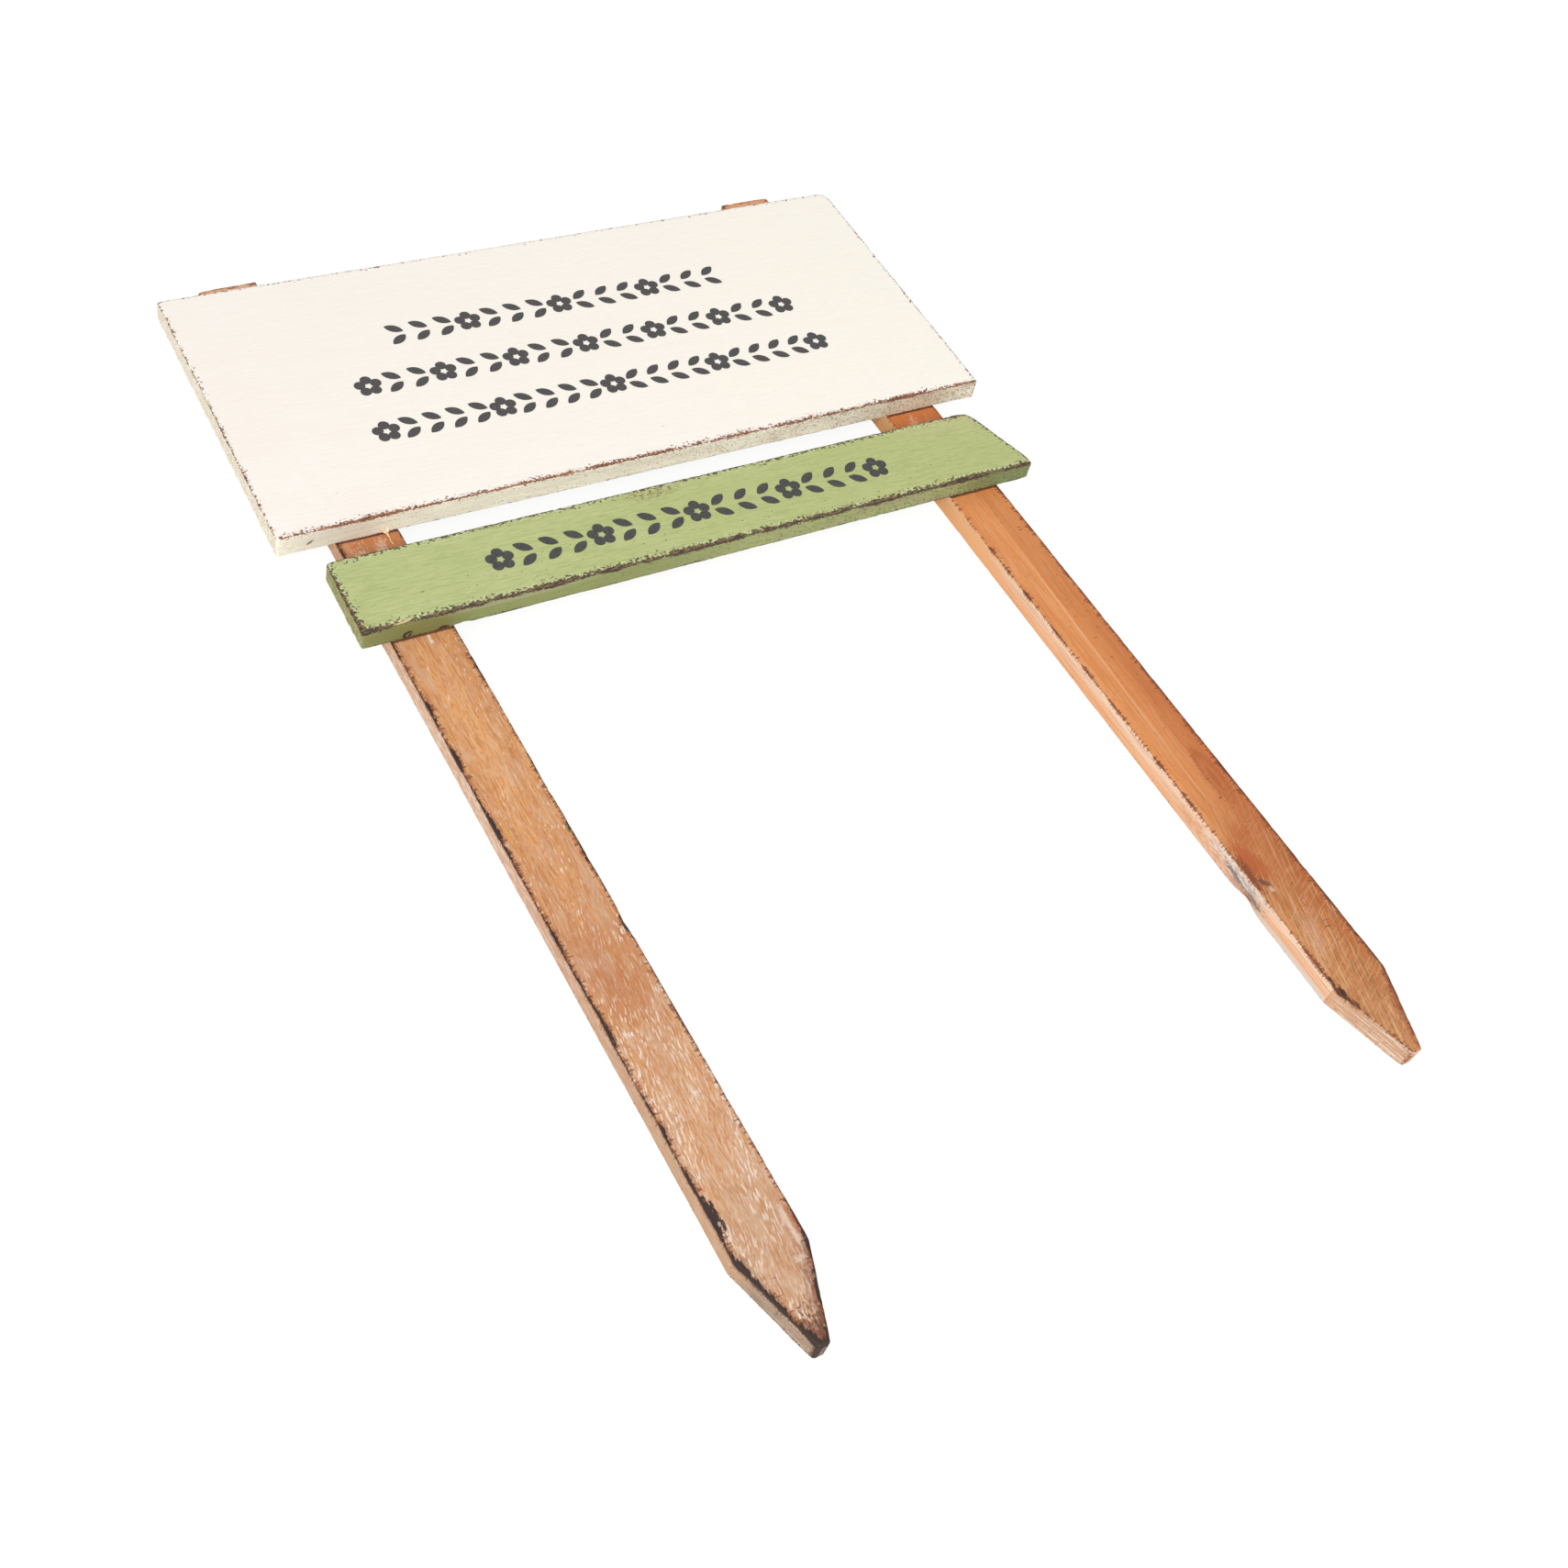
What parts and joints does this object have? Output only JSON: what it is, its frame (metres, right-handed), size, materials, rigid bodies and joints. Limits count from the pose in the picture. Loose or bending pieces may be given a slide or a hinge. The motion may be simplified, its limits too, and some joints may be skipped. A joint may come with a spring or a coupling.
{
  "type": "wooden garden sign",
  "caption": "Worn painted board and slat screwed to two pointed wooden stakes, with stencilled leaf and flower rows; pushed into soil to mark a garden bed.",
  "frame": {"origin": "centre of the bounding box's underside: the sign lies on its back, with the stakes' backs on z = 0", "axes": "+X along the boards to the right, +Y up the sign and away from the points, +Z out of the front of the boards"},
  "size_m": [0.382, 0.6012, 0.0232],
  "materials": {
    "cream_paint": "wood with worn matt cream paint, sanded through at the edges",
    "green_paint": "wood with worn matt green paint over a dark brown stain that shows at the edges",
    "tan_stain": "tan-stained softwood with whitewash flecks and dark worn edges",
    "orange_stain": "orange-stained softwood with whitewash towards the point",
    "screw_steel": "zinc-plated steel",
    "stencil_paint": "thin matt dark grey stencil paint"
  },
  "bodies": {
    "root": {"main_board": "cream_paint", "slat": "green_paint", "left_stake": "tan_stain", "right_stake": "orange_stain", "screws": "screw_steel", "board_stencil": "stencil_paint", "slat_stencil": "stencil_paint"}
  },
  "joints": []
}
